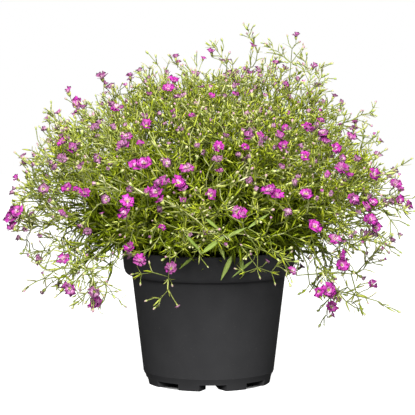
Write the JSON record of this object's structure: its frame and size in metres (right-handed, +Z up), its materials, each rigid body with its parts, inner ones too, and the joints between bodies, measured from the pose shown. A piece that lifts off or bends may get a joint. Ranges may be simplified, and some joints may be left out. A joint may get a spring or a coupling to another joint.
{
  "type": "potted cushion baby's breath",
  "caption": "Dense domed cushion of fine flowering sprays with small magenta blooms, growing in a round black plastic nursery pot that stands on its flat foot.",
  "frame": {"origin": "centre of the pot's flat underside, on the ground", "axes": "+Z up along the pot's axis, -Y towards the side that the picture shows, +X to the right of it"},
  "size_m": [0.2879, 0.281, 0.2539],
  "materials": {
    "pot_plastic": "satin, slightly grained",
    "soil": "rough, crumbly peat",
    "foliage": "soft matte leaf",
    "petal": "soft matte petal"
  },
  "bodies": {
    "root": {"pot": "pot_plastic", "soil": "soil", "spray_01": "foliage", "spray_02": "foliage", "spray_03": "foliage", "spray_04": "foliage", "spray_05": "foliage", "spray_06": "foliage", "spray_07": "foliage", "spray_08": "foliage", "spray_09": "foliage", "spray_10": "foliage", "spray_11": "foliage", "spray_12": "foliage", "spray_13": "foliage", "spray_14": "foliage", "spray_15": "foliage", "spray_16": "foliage", "spray_17": "foliage", "spray_18": "foliage", "spray_19": "foliage", "spray_20": "foliage", "spray_21": "foliage", "spray_22": "foliage", "spray_23": "foliage", "spray_24": "foliage", "spray_25": "foliage", "spray_26": "foliage", "spray_27": "foliage", "spray_28": "foliage", "spray_29": "foliage", "spray_30": "foliage", "bloom_01": "petal", "bloom_02": "petal", "bloom_03": "petal", "bloom_04": "petal", "bloom_05": "petal", "bloom_06": "petal", "bloom_07": "petal", "bloom_08": "petal", "bloom_09": "petal", "bloom_10": "petal", "bloom_11": "petal", "bloom_12": "petal", "bloom_13": "petal", "bloom_14": "petal", "bloom_15": "petal", "bloom_16": "petal", "bloom_17": "petal", "bloom_18": "petal", "bloom_19": "petal", "bloom_20": "petal", "bloom_21": "petal", "bloom_22": "petal", "bloom_23": "petal", "bloom_24": "petal", "bloom_25": "petal", "bloom_26": "petal", "bloom_27": "petal", "bloom_28": "petal"}
  },
  "joints": []
}
